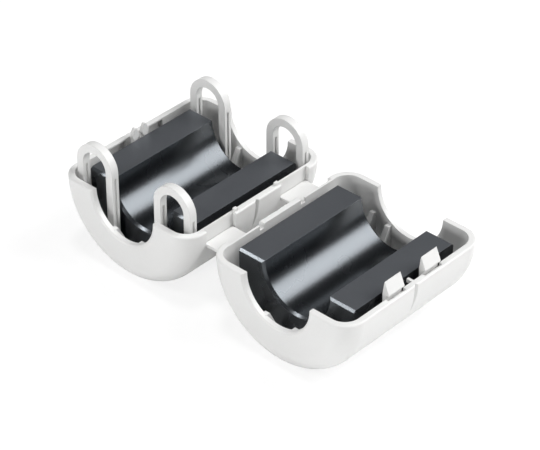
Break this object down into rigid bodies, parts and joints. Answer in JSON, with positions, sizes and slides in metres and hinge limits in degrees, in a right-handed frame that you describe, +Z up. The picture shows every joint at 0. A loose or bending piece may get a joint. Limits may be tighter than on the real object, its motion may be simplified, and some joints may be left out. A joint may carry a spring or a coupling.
{
  "type": "openable ferrite sleeve",
  "caption": "Hinged plastic sleeve holding a split ferrite core that snaps shut round a cable to damp high frequency noise.",
  "frame": {"origin": "midway between the two halves, at the level of their flat backs", "axes": "+Z up from the flat backs, +Y along the cable, +X from the base half to the cover half"},
  "size_m": [0.0604, 0.0322, 0.0197],
  "materials": {
    "case_plastic": "fine satin moulded surface, light grey",
    "ferrite": "pressed and ground ferrite, dark blue grey, satin"
  },
  "bodies": {
    "base": {"base_case": "case_plastic", "base_ferrite": "ferrite"},
    "straps": {"front_hinge_strap": "case_plastic", "rear_hinge_strap": "case_plastic"},
    "cover": {"cover_case": "case_plastic", "cover_ferrite": "ferrite"}
  },
  "joints": [
    {"name": "base_fold", "type": "hinge", "parent": "straps", "child": "base", "pos_m": [-0.00266, 0, 0.01085], "axis": [0, 1, 0], "range_deg": [0, 90]},
    {"name": "cover_fold", "type": "hinge", "parent": "straps", "child": "cover", "pos_m": [0.00266, 0, 0.01085], "axis": [0, -1, 0], "range_deg": [0, 90]}
  ],
  "couplings": [
    {"joint": "cover_fold", "follows": "base_fold", "ratio": 1}
  ]
}
